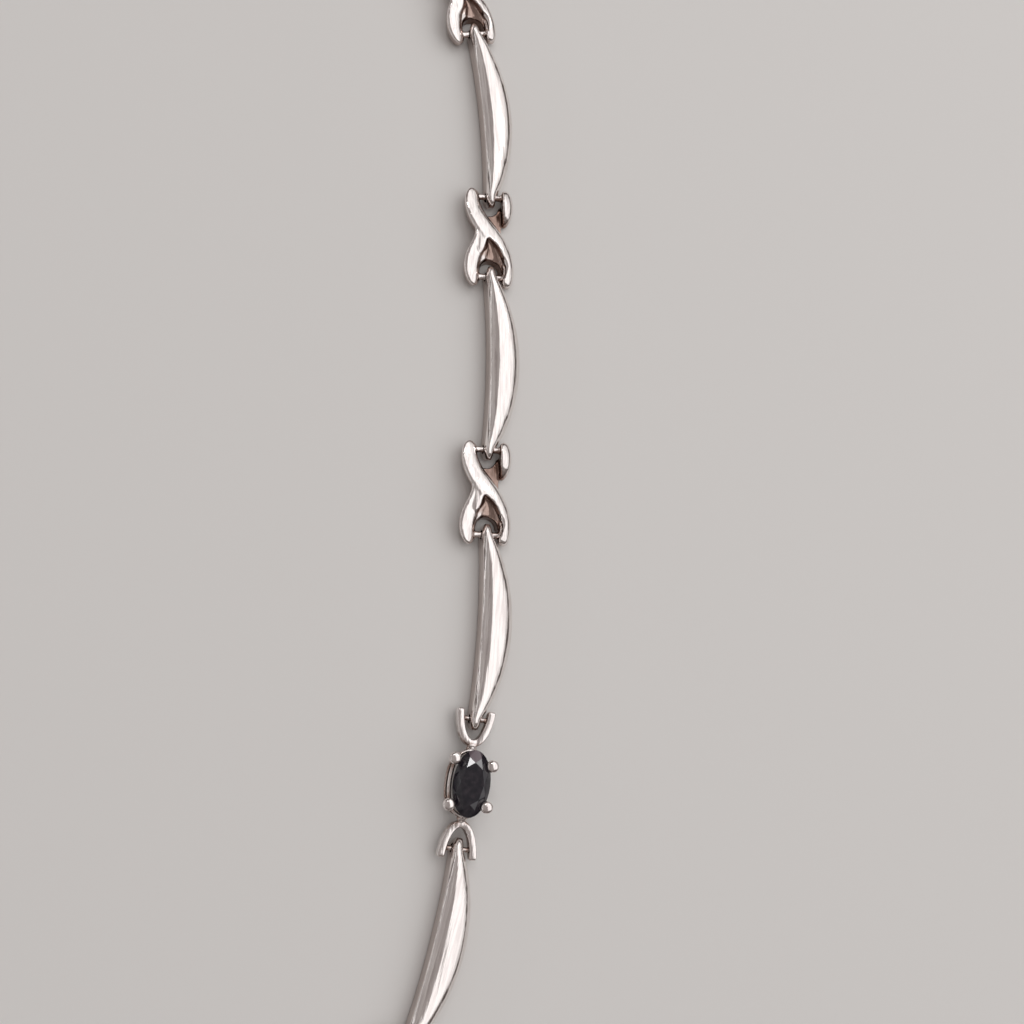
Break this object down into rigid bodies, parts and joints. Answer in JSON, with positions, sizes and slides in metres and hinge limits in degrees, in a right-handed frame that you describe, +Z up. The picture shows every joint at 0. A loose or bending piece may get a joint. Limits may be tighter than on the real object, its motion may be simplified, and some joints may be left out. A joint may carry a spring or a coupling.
{
  "type": "choker",
  "caption": "Silver link choker, crescent links between crossed-strand links, with a claw-set oval stone, closed in an oval loop.",
  "frame": {"origin": "middle of the loop's footprint, on the surface that it lies on", "axes": "+Z up, out of the face of the links; +Y along the long axis of the oval; the stone is on the +X side"},
  "size_m": [0.0882, 0.1524, 0.0029],
  "materials": {
    "silver": "polished silver, fine wear lines along the links, warm reflections in the recesses",
    "gem": "near-black dark blue faceted stone, polished"
  },
  "bodies": {
    "root": {"crescent_link_01": "silver", "crescent_link_02": "silver", "crescent_link_03": "silver", "crescent_link_04": "silver", "crescent_link_05": "silver", "crescent_link_06": "silver", "crescent_link_07": "silver", "crescent_link_08": "silver", "crescent_link_09": "silver", "crescent_link_10": "silver", "crescent_link_11": "silver", "crescent_link_12": "silver", "crescent_link_13": "silver", "crescent_link_14": "silver", "crescent_link_15": "silver", "crescent_link_16": "silver", "crescent_link_17": "silver", "crescent_link_18": "silver", "cross_link_01": "silver", "cross_link_02": "silver", "cross_link_03": "silver", "cross_link_04": "silver", "cross_link_05": "silver", "cross_link_06": "silver", "cross_link_07": "silver", "cross_link_08": "silver", "cross_link_09": "silver", "cross_link_10": "silver", "cross_link_11": "silver", "cross_link_12": "silver", "cross_link_13": "silver", "cross_link_14": "silver", "cross_link_15": "silver", "cross_link_16": "silver", "claw_setting": "silver", "box_clasp": "silver", "stone": "gem"}
  },
  "joints": []
}
